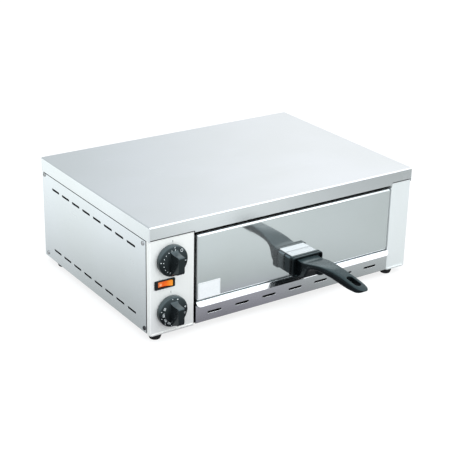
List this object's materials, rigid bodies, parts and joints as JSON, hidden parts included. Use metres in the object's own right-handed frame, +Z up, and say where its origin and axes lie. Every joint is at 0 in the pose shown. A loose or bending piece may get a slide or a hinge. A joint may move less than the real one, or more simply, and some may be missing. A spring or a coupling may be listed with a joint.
{
  "type": "countertop pizza oven",
  "caption": "Low stainless-steel countertop pizza oven: slotted casing, mirror door on a pull-out wire rack with a long handle, crumb tray, timer and thermostat dials, lit rocker.",
  "frame": {"origin": "centre of the whole object's box in X and Y, handle and cord included, at worktop level under the feet", "axes": "+X to the right seen from the front, +Y to the back (the handle points to -Y), +Z up"},
  "size_m": [0.5716, 0.6506, 0.2124],
  "materials": {
    "stainless_brushed": "fine straight-grain satin",
    "stainless_polished": "mirror polished sheet",
    "bright_metal": "bright polished, soft reflections",
    "steel_mill": "dull mill finish, heat tinted inside",
    "rack_wire": "plated wire",
    "element_sheath": "oxidised sheath",
    "bakelite_black": "moulded, slight sheen",
    "plastic_black": "moulded satin",
    "rubber_black": "matt moulded",
    "amber_lens": "translucent lit amber",
    "label_white": "blank sticker",
    "insulator_cream": "matt",
    "brass": "turned, satin",
    "lead_brown": "sleeved wire",
    "lead_white": "sleeved wire",
    "cord_black": "flexible jacket"
  },
  "bodies": {
    "oven_body": {"top_cover": "stainless_brushed", "left_side_panel": "stainless_brushed", "right_side_panel": "stainless_brushed", "rear_panel": "steel_mill", "base_pan": "steel_mill", "control_fascia": "stainless_brushed", "right_front_post": "stainless_brushed", "lower_front_panel": "stainless_brushed", "chamber_shell": "steel_mill", "chamber_back": "steel_mill", "chamber_floor": "steel_mill", "control_divider": "steel_mill", "left_rack_rail": "steel_mill", "right_rack_rail": "steel_mill", "upper_element": "element_sheath", "lower_element": "element_sheath", "upper_element_hanger": "steel_mill", "lower_element_support": "steel_mill", "timer_body": "insulator_cream", "thermostat_body": "insulator_cream", "thermostat_bulb": "brass", "switch_housing": "plastic_black", "terminal_block": "insulator_cream", "live_lead": "lead_brown", "element_lead": "lead_white", "cord_gland": "plastic_black", "power_cord": "cord_black", "power_plug": "cord_black", "plug_pins": "brass", "left_screw_1": "bright_metal", "left_screw_2": "bright_metal", "left_screw_3": "bright_metal", "left_screw_4": "bright_metal", "right_screw_1": "bright_metal", "right_screw_2": "bright_metal", "right_screw_3": "bright_metal", "right_screw_4": "bright_metal", "rear_screw_1": "bright_metal", "rear_screw_2": "bright_metal", "rear_screw_3": "bright_metal", "rear_screw_4": "bright_metal", "foot_front_left": "rubber_black", "foot_front_right": "rubber_black", "foot_rear_left": "rubber_black", "foot_rear_right": "rubber_black"},
    "rack_door": {"door_skin": "stainless_polished", "door_inner_panel": "steel_mill", "wire_rack": "rack_wire", "handle_saddle": "bright_metal", "handle_block": "bakelite_black", "handle_grip": "bakelite_black", "handle_bolt": "bright_metal", "door_label": "label_white"},
    "crumb_tray": {"crumb_tray": "bright_metal"},
    "timer_dial": {"timer_knob": "bakelite_black", "timer_shaft": "brass"},
    "thermostat_dial": {"thermostat_knob": "bakelite_black", "thermostat_shaft": "brass"},
    "rocker": {"switch_rocker": "amber_lens"}
  },
  "joints": [
    {"name": "rack_door_slide", "type": "slide", "parent": "oven_body", "child": "rack_door", "axis": [0, -1, 0], "range_m": [0, 0.3]},
    {"name": "crumb_tray_slide", "type": "slide", "parent": "oven_body", "child": "crumb_tray", "axis": [0, -1, 0], "range_m": [0, 0.32]},
    {"name": "timer_turn", "type": "hinge", "parent": "oven_body", "child": "timer_dial", "pos_m": [-0.2439, -0.1447, 0.148], "axis": [0, 1, 0], "range_deg": [0, 300]},
    {"name": "thermostat_turn", "type": "hinge", "parent": "oven_body", "child": "thermostat_dial", "pos_m": [-0.2439, -0.1447, 0.0536], "axis": [0, 1, 0], "range_deg": [0, 270]},
    {"name": "rocker_tilt", "type": "hinge", "parent": "oven_body", "child": "rocker", "pos_m": [-0.2568, -0.1322, 0.1059], "axis": [0, 0, 1], "range_deg": [0, 18]}
  ]
}
